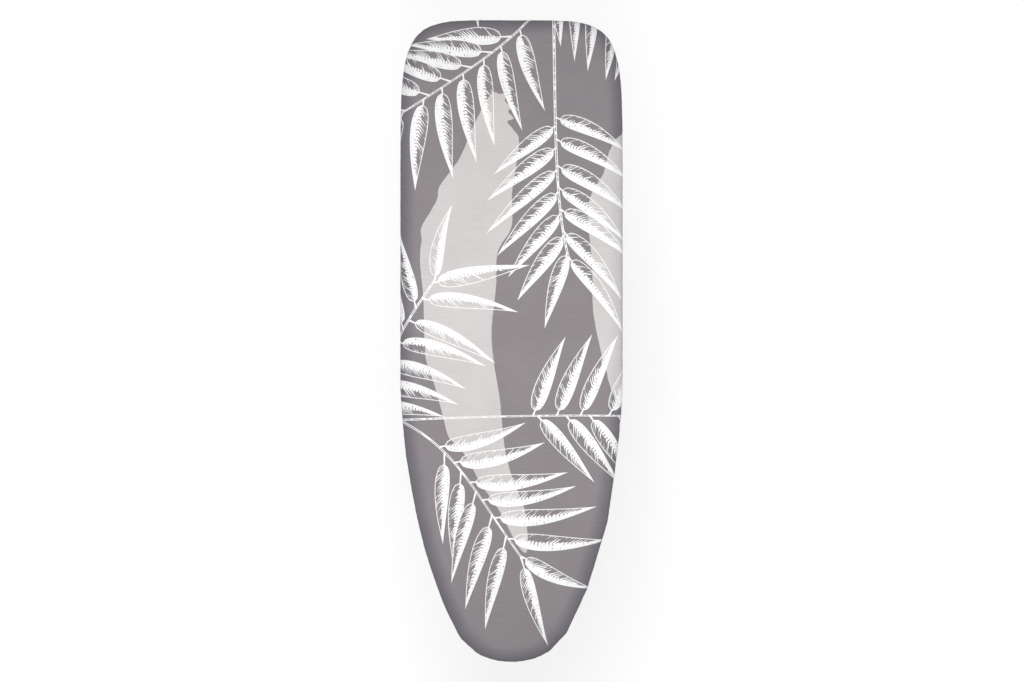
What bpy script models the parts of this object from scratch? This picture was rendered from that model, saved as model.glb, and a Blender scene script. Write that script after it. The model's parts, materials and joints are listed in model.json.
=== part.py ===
"""Folding ironing board on two crossed tube legs, with a stepless brake that holds its height.

Frame: metres, +Z up, origin on the floor under the middle of the board. The nose points to -Y and the
square end to +Y. The outer leg hangs from a fixed axle near the square end. The inner leg's top slides
in the two rails, and a brake rod on that sliding axle runs through tilting plates, which grip it.
"""

import math

import bmesh
import bpy
from mathutils import Vector

# ---------------------------------------------------------------- driving dimensions
BOARD_LENGTH = 1.200
BOARD_WIDTH = 0.416
BOARD_HEIGHT = 0.900

TAIL_ROUND = 0.500  # how far the square end's rounding runs along the board
TAIL_POWERS = (5.4, 9.0)  # superellipse powers across and along
NOSE_TAPER = 0.520  # how far the nose's taper runs along the board
NOSE_POWERS = (2.5, 1.5)

COVER_CLOTH = 0.0012
COVER_SHOULDER = 0.0075  # rounding of the top edge
COVER_TURN = 0.006  # rounding where the cover turns under the rim
COVER_HEM_REACH = 0.028  # how far the cover reaches in under the board
ELASTIC_RADIUS = 0.0015

PAD_THICKNESS = 0.005
SHEET_THICKNESS = 0.0004
RIM_HEIGHT = 0.014
RIM_FLANGE = 0.012
RIM_WALL = 0.0012

STRUT_WIDTH = 0.020
STRUT_HEIGHT = 0.012
STRUT_WALL = 0.0012
STRUTS = {"nose": -0.430, "front": -0.170, "middle": 0.090, "hinge": 0.376, "tail": 0.500}

RAIL_DEPTH = 0.013
RAIL_WALL = 0.0015
RAIL_INNER_FACE = 0.092
RAIL_NOSE_OVERRUN = 0.028  # past the folded sliding axle
RAIL_TAIL_OVERRUN = 0.048  # past the fixed axle

LEG_LENGTH = 1.030  # from the top axle to the foot bar's axis
CROSS_DISTANCE = 0.380  # from either leg's top axle to the pivot where they cross
HINGE_Y = 0.340  # the outer leg's fixed axle
FOLDED_ANGLE = math.radians(3.0)  # the legs' slope to the board when folded
TUBE_RADIUS = 0.010
TUBE_WALL = 0.0012
TUBE_OVERRUN = 0.0085  # tube past its top axle
PLUG_HEAD = 0.0025
OUTER_TUBE_X = 0.072
INNER_TUBE_X = 0.042
BRACE_RADIUS = 0.008
BRACE_TO_FOOT = 0.190

FOOT_BAR_RADIUS = 0.011
FOOT_BAR_WALL = 0.0012
OUTER_FOOT_WIDTH = 0.340
INNER_FOOT_WIDTH = 0.370
CAP_RADIUS = 0.0136
CAP_SOLE_DROP = 0.0130  # the flat sole's distance under the foot bar's axis
CAP_LENGTH = 0.044
CAP_END_WALL = 0.006

AXLE_RADIUS = 0.005
CROSS_BOLT_RADIUS = 0.004
BRAKE_ROD_RADIUS = 0.0045
BRAKE_ROD_END = 0.018  # how far the rod still sticks out of the housing when folded

HOUSING_NOSE_FACE = -0.064
HOUSING_TAIL_FACE = -0.022
HOUSING_HALF_WIDTH = 0.020
HOUSING_WALL = 0.002
BRAKE_PLATE_THICKNESS = 0.003
BRAKE_PLATE_WIDTH = 0.022
BRAKE_PLATE_TILT = math.radians(6.0)

LEVER_Y = -0.053
LEVER_PIVOT_X = 0.030
LEVER_WIDTH = 0.020
LEVER_THICKNESS = 0.003
LEVER_REACH = 0.150
GRIP_LENGTH = 0.050

GAP = 0.0003  # between pieces that touch
BORE_CLEARANCE = 0.0002  # round a shaft that turns or slides
SIDES = 24  # of a round tube or rod
ARC_STEPS = 3  # of each rounding in the cover and the pad

# ---------------------------------------------------------------- heights worked out from them
COVER_INSIDE = BOARD_HEIGHT - COVER_CLOTH
SHOULDER_Z = BOARD_HEIGHT - COVER_SHOULDER
SHOULDER_INSIDE = COVER_SHOULDER - COVER_CLOTH
PAD_TOP = COVER_INSIDE - 2 * GAP
PAD_BOTTOM = PAD_TOP - PAD_THICKNESS
SHEET_TOP = PAD_BOTTOM - GAP
SHEET_BOTTOM = SHEET_TOP - SHEET_THICKNESS
RIM_TOP = SHEET_BOTTOM - GAP
RIM_BOTTOM = RIM_TOP - RIM_HEIGHT
COVER_BOTTOM = RIM_BOTTOM - GAP - COVER_CLOTH
STRUT_TOP = RIM_TOP
STRUT_BOTTOM = STRUT_TOP - STRUT_HEIGHT
RAIL_TOP = STRUT_BOTTOM - GAP
# The rails are deep enough for the tube ends to swing under the struts.
RAIL_HEIGHT = 2 * (math.hypot(TUBE_RADIUS, TUBE_OVERRUN + PLUG_HEAD) + GAP)
RAIL_BOTTOM = RAIL_TOP - RAIL_HEIGHT
AXLE_Z = (RAIL_TOP + RAIL_BOTTOM) / 2
RAIL_OUTER_FACE = RAIL_INNER_FACE + RAIL_DEPTH

# The sheet's edge stays inside the shoulder, whose flat steps lie a little inside its arc.
SHEET_RISE = max(SHEET_TOP - SHOULDER_Z, 0.0)
STEP_DEPTH = SHOULDER_INSIDE * (1 - math.cos(math.pi / 4 / ARC_STEPS))
RIM_INSET = COVER_SHOULDER - math.sqrt(SHOULDER_INSIDE**2 - SHEET_RISE**2) + STEP_DEPTH + 2 * GAP
RIM_REACH = RIM_INSET + RIM_FLANGE

# ---------------------------------------------------------------- the legs' stance
LEG_ANGLE = math.asin((AXLE_Z - CAP_SOLE_DROP) / LEG_LENGTH)  # above the floor
LEG_LEAN = math.pi / 2 - LEG_ANGLE
SLIDE_Y = HINGE_Y - 2 * CROSS_DISTANCE * math.cos(LEG_ANGLE)
CROSS_Y = HINGE_Y - CROSS_DISTANCE * math.cos(LEG_ANGLE)
CROSS_Z = AXLE_Z - CROSS_DISTANCE * math.sin(LEG_ANGLE)
FOLDED_SLIDE_Y = HINGE_Y - 2 * CROSS_DISTANCE * math.cos(FOLDED_ANGLE)
RAIL_NOSE_END = FOLDED_SLIDE_Y - RAIL_NOSE_OVERRUN
RAIL_TAIL_END = HINGE_Y + RAIL_TAIL_OVERRUN
BRAKE_ROD_LENGTH = HOUSING_TAIL_FACE - FOLDED_SLIDE_Y + BRAKE_ROD_END

# ---------------------------------------------------------------- the lever's and the brake's heights
BRIDGE_THICKNESS = 0.002
BRIDGE_BOTTOM = RAIL_TOP + GAP
BRIDGE_TOP = BRIDGE_BOTTOM + BRIDGE_THICKNESS
LEVER_BOTTOM = BRIDGE_TOP + 2 * GAP
LEVER_TOP = LEVER_BOTTOM + LEVER_THICKNESS
HOUSING_TOP = RAIL_TOP
HOUSING_BOTTOM = AXLE_Z - 0.0135
PLATE_FOOT_Z = HOUSING_BOTTOM + 2 * GAP
PLATE_HEIGHT = LEVER_TOP - 0.0005 - PLATE_FOOT_Z
PLATE_FOOT_Y = LEVER_Y + PLATE_HEIGHT * math.tan(BRAKE_PLATE_TILT)
TIP_WIDTH = 0.008
TIP_SLOT_WIDTH = 0.014
TIP_SLOT_LENGTH = 0.0095


# ---------------------------------------------------------------- materials
def material(name, colour, roughness, metallic=0.0):
    made = bpy.data.materials.new(name)
    made.use_nodes = True
    shader = made.node_tree.nodes["Principled BSDF"]
    shader.inputs["Base Color"].default_value = (*colour, 1.0)
    shader.inputs["Roughness"].default_value = roughness
    shader.inputs["Metallic"].default_value = metallic
    return made


def make_materials():
    return {
        "cloth": material("cloth", (0.21, 0.19, 0.20), 0.9),
        "felt": material("felt", (0.75, 0.73, 0.68), 0.95),
        "elastic": material("elastic", (0.70, 0.70, 0.68), 0.8),
        "paint": material("paint", (0.62, 0.63, 0.65), 0.45, 0.3),
        "zinc": material("zinc", (0.60, 0.61, 0.63), 0.35, 1.0),
        "plastic": material("plastic", (0.07, 0.07, 0.075), 0.55),
        "nylon": material("nylon", (0.82, 0.82, 0.80), 0.5),
    }


# ---------------------------------------------------------------- building blocks
def clear_scene():
    for obj in list(bpy.data.objects):
        bpy.data.objects.remove(obj, do_unlink=True)


def empty(name, location=(0, 0, 0), lean=0.0, parent=None):
    """An axis that pieces hang on, turned by lean about X."""
    made = bpy.data.objects.new(name, None)
    made.location = location
    made.rotation_euler = (lean, 0, 0)
    made.parent = parent
    bpy.context.scene.collection.objects.link(made)
    return made


def finish(name, bm, look, parent=None, location=(0, 0, 0), rotation=(0, 0, 0)):
    """Turns the bmesh into a named object whose faces point out, with round faces shaded smooth."""
    bmesh.ops.recalc_face_normals(bm, faces=bm.faces)
    mesh = bpy.data.meshes.new(name)
    bm.to_mesh(mesh)
    bm.free()
    mesh.shade_smooth()
    mesh.set_sharp_from_angle(angle=math.radians(35))
    if look is not None:
        mesh.materials.append(look)
    made = bpy.data.objects.new(name, mesh)
    made.location = location
    made.rotation_euler = rotation
    made.parent = parent
    bpy.context.scene.collection.objects.link(made)
    return made


def cut(obj, cutter):
    """Takes the cutter's shape away from obj. The cutter is a hidden helper."""
    cutter.hide_render = True
    cutter.display_type = "WIRE"
    modifier = obj.modifiers.new("cut_" + cutter.name, "BOOLEAN")
    modifier.operation = "DIFFERENCE"
    modifier.solver = "EXACT"
    modifier.object = cutter
    return obj


def loft(rings, closed):
    """A skin over rings of equal length: a loop of rings, or a row of rings with both ends filled."""
    bm = bmesh.new()
    loops = [[bm.verts.new(point) for point in ring] for ring in rings]
    pairs = list(zip(loops, loops[1:]))
    if closed:
        pairs.append((loops[-1], loops[0]))
    else:
        bm.faces.new(loops[0])
        bm.faces.new(loops[-1])
    for low, high in pairs:
        for i in range(len(low)):
            j = (i + 1) % len(low)
            bm.faces.new((low[i], low[j], high[j], high[i]))
    return bm


def circle(radius, x, sides=SIDES, floor=None):
    """A ring round the X axis at x. With a floor, it is flattened that far under the axis."""
    ring = []
    for i in range(sides):
        angle = 2 * math.pi * (i + 0.5) / sides
        height = radius * math.sin(angle)
        if floor is not None:
            height = max(height, -floor)
        ring.append(Vector((x, radius * math.cos(angle), height)))
    return ring


def rod(name, radius, low, high, look, parent=None, location=(0, 0, 0), rotation=(0, 0, 0), sides=SIDES):
    """A solid rod along its own X axis from low to high."""
    bm = loft([circle(radius, low, sides), circle(radius, high, sides)], closed=False)
    return finish(name, bm, look, parent, location, rotation)


def turned(name, profile, look, parent=None, location=(0, 0, 0), rotation=(0, 0, 0), closed=True, floor=None):
    """A piece turned about its own X axis from a profile of (x, radius)."""
    bm = loft([circle(radius, x, floor=floor) for x, radius in profile], closed)
    return finish(name, bm, look, parent, location, rotation)


def tube_profile(radius, wall, low, high):
    return [(low, radius), (high, radius), (high, radius - wall), (low, radius - wall)]


def prism(name, outline, depth, look, parent=None, location=(0, 0, 0), rotation=(0, 0, 0)):
    """An outline in the XY plane, extruded by depth along +Z."""
    bm = bmesh.new()
    face = bm.faces.new([bm.verts.new((x, y, 0)) for x, y in outline])
    raised = bmesh.ops.extrude_face_region(bm, geom=[face])["geom"]
    bmesh.ops.translate(bm, vec=(0, 0, depth), verts=[v for v in raised if isinstance(v, bmesh.types.BMVert)])
    return finish(name, bm, look, parent, location, rotation)


def block(name, low, high, look, parent=None, bevel=0.0):
    """A box between two corners, with its edges rounded by bevel."""
    low, high = Vector(low), Vector(high)
    bm = bmesh.new()
    bmesh.ops.create_cube(bm, size=1)
    bmesh.ops.scale(bm, vec=high - low, verts=bm.verts)
    if bevel:
        bmesh.ops.bevel(bm, geom=bm.edges, offset=bevel, segments=2, affect="EDGES", profile=0.5)
    return finish(name, bm, look, parent, (low + high) / 2)


def channel_outline(width, height, wall):
    """A U lying in XY: its web along the bottom, its two flanges up."""
    return [
        (-width / 2, 0), (width / 2, 0), (width / 2, height), (width / 2 - wall, height),
        (width / 2 - wall, wall), (-width / 2 + wall, wall), (-width / 2 + wall, height), (-width / 2, height),
    ]


def arc(centre, radius, start, end, steps):
    """Points of an arc in the section plane, angles in degrees."""
    points = []
    for i in range(steps + 1):
        angle = math.radians(start + (end - start) * i / steps)
        points.append((centre[0] + radius * math.cos(angle), centre[1] + radius * math.sin(angle)))
    return points


# ---------------------------------------------------------------- the board's outline
def quarter(across, along, powers, steps):
    """A superellipse quarter, from its widest point to its tip."""
    points = []
    for i in range(steps + 1):
        angle = math.pi / 2 * i / steps
        x = across * max(math.cos(angle), 0.0) ** (2 / powers[0])
        points.append((x if i < steps else 0.0, along * math.sin(angle) ** (2 / powers[1])))
    return points


def board_outline():
    """The cover's outermost line seen from above, anticlockwise from the tail's middle."""
    tail = quarter(BOARD_WIDTH / 2, TAIL_ROUND, TAIL_POWERS, 12)
    nose = quarter(BOARD_WIDTH / 2, NOSE_TAPER, NOSE_POWERS, 14)
    half_length = BOARD_LENGTH / 2
    left = [Vector((-x, half_length - TAIL_ROUND + y)) for x, y in reversed(tail)]
    left += [Vector((-x, NOSE_TAPER - half_length - y)) for x, y in nose]
    right = [Vector((-p.x, p.y)) for p in reversed(left[1:-1])]
    return left + right


OUTLINE = board_outline()


def inset_outline(inset):
    """The outline moved inwards by inset along its own normals."""
    moved = []
    for i, point in enumerate(OUTLINE):
        along = (OUTLINE[(i + 1) % len(OUTLINE)] - OUTLINE[i - 1]).normalized()
        moved.append(point + inset * Vector((-along.y, along.x)))
    return moved


def ring_at(inset, z):
    return [Vector((p.x, p.y, z)) for p in inset_outline(inset)]


def half_width(y, inset):
    """The board's half width at y, measured to its inset outline."""
    points = inset_outline(inset)
    for a, b in zip(points, points[1:]):
        if a.y >= y >= b.y and a.x < 0 and b.x <= 0:
            share = (a.y - y) / (a.y - b.y) if a.y > b.y else 0.0
            return -(a.x + share * (b.x - a.x))
    raise ValueError(f"y {y} is outside the board")


def section_rings(section):
    """Rings round the board from (inset, height) points."""
    return [ring_at(inset, z) for inset, z in section]


# ---------------------------------------------------------------- the soft top
def make_cover(looks):
    """A cotton cover: a flat top, a round shoulder, a side, and a hem turned in under the rim."""
    shoulder = (COVER_SHOULDER, SHOULDER_Z)
    turn = (COVER_TURN, COVER_BOTTOM + COVER_TURN)
    outside = arc(shoulder, COVER_SHOULDER, 90, 180, ARC_STEPS) + arc(turn, COVER_TURN, 180, 270, 2)
    outside.append((COVER_HEM_REACH, COVER_BOTTOM))
    inside = [(COVER_HEM_REACH, COVER_BOTTOM + COVER_CLOTH)]
    inside += arc(turn, COVER_TURN - COVER_CLOTH, 270, 180, 2)
    inside += arc(shoulder, SHOULDER_INSIDE, 180, 90, ARC_STEPS)
    finish("cover", loft(section_rings(outside + inside), closed=False), looks["cloth"])

    centre = (COVER_HEM_REACH + ELASTIC_RADIUS + 2 * GAP, COVER_BOTTOM + COVER_CLOTH / 2)
    section = arc(centre, ELASTIC_RADIUS, 0, 300, 5)
    finish("hem_elastic", loft(section_rings(section), closed=True), looks["elastic"])


def make_pad(looks):
    """A felt pad that lies on the sheet and fills the cover's shoulder."""
    radius = SHOULDER_INSIDE - 1.5 * GAP
    low = math.degrees(math.asin(max((PAD_BOTTOM - SHOULDER_Z) / radius, -1.0)))
    high = math.degrees(math.asin((PAD_TOP - SHOULDER_Z) / radius))
    section = arc((COVER_SHOULDER, SHOULDER_Z), radius, 180 - low, 180 - high, ARC_STEPS)
    finish("pad", loft(section_rings(section), closed=False), looks["felt"])


# ---------------------------------------------------------------- the steel top
def make_steel_top(looks):
    section = [(RIM_INSET, SHEET_TOP), (RIM_INSET, SHEET_BOTTOM)]
    finish("mesh_top", loft(section_rings(section), closed=False), looks["paint"])

    chamfer = 0.0035
    far = RIM_INSET + RIM_WALL
    rolled_edge = [
        (RIM_REACH, RIM_TOP), (RIM_INSET, RIM_TOP), (RIM_INSET, RIM_BOTTOM + chamfer),
        (RIM_INSET + chamfer, RIM_BOTTOM), (RIM_REACH, RIM_BOTTOM), (RIM_REACH, RIM_BOTTOM + RIM_WALL),
        (far + chamfer, RIM_BOTTOM + RIM_WALL), (far, RIM_BOTTOM + RIM_WALL + chamfer),
        (far, RIM_TOP - RIM_WALL), (RIM_REACH, RIM_TOP - RIM_WALL),
    ]
    finish("rim_frame", loft(section_rings(rolled_edge), closed=True), looks["paint"])

    outline = channel_outline(STRUT_WIDTH, STRUT_HEIGHT, STRUT_WALL)
    for place, y in STRUTS.items():
        edges = (y - STRUT_WIDTH / 2, y + STRUT_WIDTH / 2)
        reach = min(half_width(edge, RIM_REACH + 2 * GAP) for edge in edges)
        # Turned so that the extrusion runs along X and the web lies under the sheet.
        prism(f"strut_{place}", outline, 2 * reach, looks["paint"], location=(-reach, y, STRUT_TOP),
              rotation=(-math.pi / 2, 0, -math.pi / 2))


def rail(side, sign, looks):
    """A C channel under the struts, open towards the middle, with a hole for the outer leg's axle."""
    outline = [(y, x) for x, y in channel_outline(RAIL_HEIGHT, RAIL_DEPTH, RAIL_WALL)]
    outline = [(-sign * depth, height) for depth, height in outline]
    made = prism(f"rail_{side}", outline, RAIL_TAIL_END - RAIL_NOSE_END, looks["zinc"],
                 location=(sign * RAIL_OUTER_FACE, RAIL_TAIL_END, AXLE_Z), rotation=(math.pi / 2, 0, 0))
    hole = rod(f"rail_hole_{side}", AXLE_RADIUS + BORE_CLEARANCE, -RAIL_DEPTH, RAIL_DEPTH, None,
               location=(sign * RAIL_OUTER_FACE, HINGE_Y, AXLE_Z))
    cut(made, hole)

    stop_length = 0.010
    faces = sorted((sign * (RAIL_INNER_FACE + GAP), sign * (RAIL_OUTER_FACE - RAIL_WALL - GAP)))
    half = RAIL_HEIGHT / 2 - RAIL_WALL - GAP
    block(f"rail_stop_{side}", (faces[0], RAIL_NOSE_END, AXLE_Z - half),
          (faces[1], RAIL_NOSE_END + stop_length, AXLE_Z + half), looks["plastic"], bevel=0.0008)


def make_hinge_axle(looks):
    """The outer leg's axle, held in both rails by push-on caps, with a nylon spacer beside each tube."""
    cap_wall = 0.002
    reach = RAIL_OUTER_FACE + 0.004
    rod("hinge_axle", AXLE_RADIUS, -reach, reach, looks["zinc"], location=(0, HINGE_Y, AXLE_Z))
    bore = AXLE_RADIUS + BORE_CLEARANCE
    start = RAIL_OUTER_FACE + GAP
    rim = bore + 0.0038
    end = reach + GAP + cap_wall
    cap = [(start, bore), (start, rim), (start + 0.003, rim), (end, bore + 0.0013), (end, 0.0015),
           (reach + GAP, 0.0015), (reach + GAP, bore)]
    spacer = tube_profile(bore + 0.003, 0.003, OUTER_TUBE_X + TUBE_RADIUS + GAP,
                          RAIL_OUTER_FACE - RAIL_WALL - GAP)
    for side, sign in (("left", -1), ("right", 1)):
        turned(f"axle_cap_{side}", [(sign * x, r) for x, r in cap], looks["plastic"],
               location=(0, HINGE_Y, AXLE_Z))
        turned(f"axle_spacer_{side}", [(sign * x, r) for x, r in spacer], looks["nylon"],
               location=(0, HINGE_Y, AXLE_Z))


# ---------------------------------------------------------------- the legs
def foot_cap(name, sign, width, looks, parent):
    """A plastic cap on the foot bar's end, with a flat sole and a blind bore for the bar."""
    bore = FOOT_BAR_RADIUS + GAP
    end = width / 2
    mouth = end - CAP_LENGTH
    profile = [
        (end - CAP_END_WALL, bore), (mouth, bore), (mouth, CAP_RADIUS - 0.0008), (mouth + 0.002, CAP_RADIUS),
        (end - 0.004, CAP_RADIUS), (end, CAP_RADIUS * 0.75),
    ]
    return turned(name, [(sign * x, r) for x, r in profile], looks["plastic"], parent, closed=False,
                  floor=CAP_SOLE_DROP)


def make_leg(prefix, axis, top, tube_x, foot_width, top_bore, looks):
    """Two tubes that hang on axis, a brace, a foot bar with caps, and plugs in the tubes' top ends.

    top is the top axle's height on the axis empty; the crossing and the foot bar follow from it.
    """
    cross = top - CROSS_DISTANCE
    foot = top - LEG_LENGTH
    level = empty(f"{prefix}_foot_axis", (0, 0, foot), -axis.rotation_euler.x, axis)
    bar_end = foot_width / 2 - CAP_END_WALL - GAP
    turned(f"{prefix}_foot_bar", tube_profile(FOOT_BAR_RADIUS, FOOT_BAR_WALL, -bar_end, bar_end),
           looks["paint"], level)

    brace_reach = tube_x
    brace = turned(f"{prefix}_brace", tube_profile(BRACE_RADIUS, TUBE_WALL, -brace_reach, brace_reach),
                   looks["paint"], axis, (0, 0, foot + BRACE_TO_FOOT))
    cope = FOOT_BAR_RADIUS + GAP
    foot_cutter = rod(f"{prefix}_foot_cutter", cope, -foot_width, foot_width, None, level)
    axle_cutter = rod(f"{prefix}_axle_cutter", top_bore, -foot_width, foot_width, None, axis, (0, 0, top))
    cross_cutter = rod(f"{prefix}_cross_cutter", CROSS_BOLT_RADIUS + BORE_CLEARANCE, -foot_width, foot_width,
                       None, axis, (0, 0, cross))
    upright = (0, -math.pi / 2, 0)
    for side, sign in (("left", -1), ("right", 1)):
        profile = tube_profile(TUBE_RADIUS, TUBE_WALL, foot, top + TUBE_OVERRUN)
        place = (sign * tube_x, 0, 0)
        leg_tube = turned(f"{prefix}_tube_{side}", profile, looks["paint"], axis, place, upright)
        for cutter in (foot_cutter, axle_cutter, cross_cutter):
            cut(leg_tube, cutter)
        brace_cutter = rod(f"{prefix}_brace_cutter_{side}", TUBE_RADIUS + GAP, foot, top, None, axis,
                           place, upright)
        cut(brace, brace_cutter)
        lip = TUBE_RADIUS - TUBE_WALL - GAP
        start = top + top_bore + 0.001
        end = top + TUBE_OVERRUN + GAP
        head = top + TUBE_OVERRUN + PLUG_HEAD
        plug = [(start, lip), (end, lip), (end, TUBE_RADIUS), ((end + head) / 2, TUBE_RADIUS),
                (head, TUBE_RADIUS * 0.7)]
        turned(f"{prefix}_plug_{side}", plug, looks["plastic"], axis, place, upright, closed=False)
        foot_cap(f"{prefix}_foot_cap_{side}", sign, foot_width, looks, level)


def make_cross_pivots(axis, looks):
    """A bolt, a nut and a spacer on each side, where the two legs cross. They ride on the outer leg."""
    height = -CROSS_DISTANCE
    head = INNER_TUBE_X - TUBE_RADIUS - GAP
    nut = OUTER_TUBE_X + TUBE_RADIUS + GAP
    bolt_end = nut + 0.0045
    bolt = [(head - 0.003, 0.004), (head - 0.0025, 0.0065), (head, 0.0065), (head, CROSS_BOLT_RADIUS),
            (bolt_end, CROSS_BOLT_RADIUS)]
    bore = CROSS_BOLT_RADIUS + BORE_CLEARANCE
    hexagon = 0.0065
    spacer = tube_profile(0.0085, 0.0085 - bore, INNER_TUBE_X + TUBE_RADIUS + GAP,
                          OUTER_TUBE_X - TUBE_RADIUS - GAP)
    for side, sign in (("left", -1), ("right", 1)):
        place = (0, 0, height)
        turned(f"cross_bolt_{side}", [(sign * x, r) for x, r in bolt], looks["zinc"], axis, place,
               closed=False)
        turned(f"cross_spacer_{side}", [(sign * x, r) for x, r in spacer], looks["nylon"], axis, place)
        made = rod(f"cross_nut_{side}", hexagon, sign * nut, sign * (nut + 0.005), looks["zinc"], axis, place,
                   sides=6)
        cut(made, rod(f"cross_nut_bore_{side}", bore, sign * (nut - 0.002), sign * (nut + 0.009), None, axis,
                      place))


# ---------------------------------------------------------------- the slider and its brake
def make_slide_axle(axis, top, looks):
    """The inner leg's top axle. Its ends turn in the slide shoes."""
    reach = RAIL_OUTER_FACE - RAIL_WALL - 3 * GAP
    rod("slide_axle", AXLE_RADIUS, -reach, reach, looks["zinc"], axis, (0, 0, top))


def make_slider(looks):
    """What stays level with the board: the brake rod with its eye, and a nylon shoe in each rail."""
    axis = empty("slider_axis", (0, SLIDE_Y, AXLE_Z))
    bore = AXLE_RADIUS + BORE_CLEARANCE
    eye_radius = bore + 0.0043
    eye_half_width = 0.007
    eye = turned("rod_eye", tube_profile(eye_radius, eye_radius - bore, -eye_half_width, eye_half_width),
                 looks["zinc"], axis)
    along = (0, 0, math.pi / 2)
    rod("brake_rod", BRAKE_ROD_RADIUS, eye_radius + GAP, BRAKE_ROD_LENGTH, looks["zinc"], axis, rotation=along)
    collar = tube_profile(BRAKE_ROD_RADIUS + BORE_CLEARANCE + 0.003, 0.003, BRAKE_ROD_LENGTH - 0.010,
                          BRAKE_ROD_LENGTH - 0.003)
    turned("rod_collar", collar, looks["plastic"], axis, rotation=along)

    half_length = 0.014
    half_height = RAIL_HEIGHT / 2 - RAIL_WALL - GAP
    for side, sign in (("left", -1), ("right", 1)):
        faces = sorted((sign * (RAIL_INNER_FACE + 2 * GAP), sign * (RAIL_OUTER_FACE - RAIL_WALL - 2 * GAP)))
        shoe = block(f"slide_shoe_{side}", (faces[0], -half_length, -half_height),
                     (faces[1], half_length, half_height), looks["nylon"], axis, bevel=0.0015)
        cut(shoe, rod(f"shoe_bore_{side}", bore, faces[0] - 0.01, faces[1] + 0.01, None, axis))


def make_brake(looks):
    """A bridge plate across the rails, the housing under it, and the two plates and spring inside."""
    nose, tail = HOUSING_NOSE_FACE, HOUSING_TAIL_FACE
    bridge = block("lock_bridge", (-RAIL_OUTER_FACE, nose - 0.006, BRIDGE_BOTTOM),
                   (RAIL_OUTER_FACE, tail + 0.006, BRIDGE_TOP), looks["zinc"])
    half, height, wall = (tail - nose) / 2, HOUSING_TOP - HOUSING_BOTTOM, HOUSING_WALL
    # The nose wall's edge is turned in as a lip, and the plates' feet push on it.
    lip = (nose + tail) / 2 - (PLATE_FOOT_Y - BRAKE_PLATE_THICKNESS - 2 * GAP)
    outline = [(-half, 0), (half, 0), (half, height), (lip, height), (lip, height - wall),
               (half - wall, height - wall), (half - wall, wall), (wall - half, wall), (wall - half, height),
               (-half, height)]
    housing = prism("lock_housing", outline, 2 * HOUSING_HALF_WIDTH, looks["zinc"],
                    location=(-HOUSING_HALF_WIDTH, (nose + tail) / 2, HOUSING_TOP),
                    rotation=(-math.pi / 2, 0, -math.pi / 2))
    cut(housing, rod("housing_bore", BRAKE_ROD_RADIUS + 0.0004, nose - 0.01, tail + 0.01, None,
                     location=(0, 0, AXLE_Z), rotation=(0, 0, math.pi / 2)))
    window = block("tip_window", (-TIP_SLOT_WIDTH / 2, LEVER_Y - 0.0075, HOUSING_TOP - 0.004),
                   (TIP_SLOT_WIDTH / 2, LEVER_Y + 0.0105, BRIDGE_TOP + 0.004), None)
    cut(housing, window)
    cut(bridge, window)
    pin_hole = turned("pin_hole", [(-0.02, 0.0034), (0.02, 0.0034)], None,
                      location=(LEVER_PIVOT_X, LEVER_Y, BRIDGE_TOP), rotation=(0, -math.pi / 2, 0), closed=False)
    cut(bridge, pin_hole)

    axis = empty("brake_plate_axis", (0, PLATE_FOOT_Y, PLATE_FOOT_Z), BRAKE_PLATE_TILT)
    width, tip = BRAKE_PLATE_WIDTH / 2, TIP_WIDTH / 2
    shoulder = PLATE_HEIGHT - (LEVER_TOP - HOUSING_TOP) - 0.004
    outline = [(-width, 0), (width, 0), (width, shoulder), (tip, shoulder), (tip, PLATE_HEIGHT),
               (-tip, PLATE_HEIGHT), (-tip, shoulder), (-width, shoulder)]
    rod_height = (AXLE_Z - PLATE_FOOT_Z) / math.cos(BRAKE_PLATE_TILT)
    for i in (1, 2):
        place = (0, (i - 1) * (BRAKE_PLATE_THICKNESS + GAP), 0)
        plate = prism(f"brake_plate_{i}", outline, BRAKE_PLATE_THICKNESS, looks["zinc"], axis, place,
                      (math.pi / 2, 0, 0))
        cut(plate, rod(f"plate_bore_{i}", BRAKE_ROD_RADIUS + 0.0009, -0.02, 0.02, None, axis,
                       (0, 0, rod_height), (0, 0, math.pi / 2)))
    make_spring(looks)


def make_spring(looks):
    """A compression spring round the rod, between the plates and the housing's far wall."""
    wire = 0.0006
    radius = BRAKE_ROD_RADIUS + 2 * wire + GAP
    low = PLATE_FOOT_Y + BRAKE_PLATE_THICKNESS + 4 * GAP + wire
    high = HOUSING_TAIL_FACE - HOUSING_WALL - GAP - wire
    turns, per_turn = 5, 10
    curve = bpy.data.curves.new("brake_spring", "CURVE")
    curve.dimensions = "3D"
    curve.bevel_depth = wire
    curve.bevel_resolution = 1
    curve.use_fill_caps = True
    spline = curve.splines.new("POLY")
    spline.points.add(turns * per_turn)
    for i, point in enumerate(spline.points):
        angle = 2 * math.pi * i / per_turn
        y = low + (high - low) * i / (turns * per_turn)
        point.co = (radius * math.cos(angle), y, radius * math.sin(angle), 1)
    curve.materials.append(looks["zinc"])
    made = bpy.data.objects.new("brake_spring", curve)
    made.location = (0, 0, AXLE_Z)
    bpy.context.scene.collection.objects.link(made)


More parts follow.
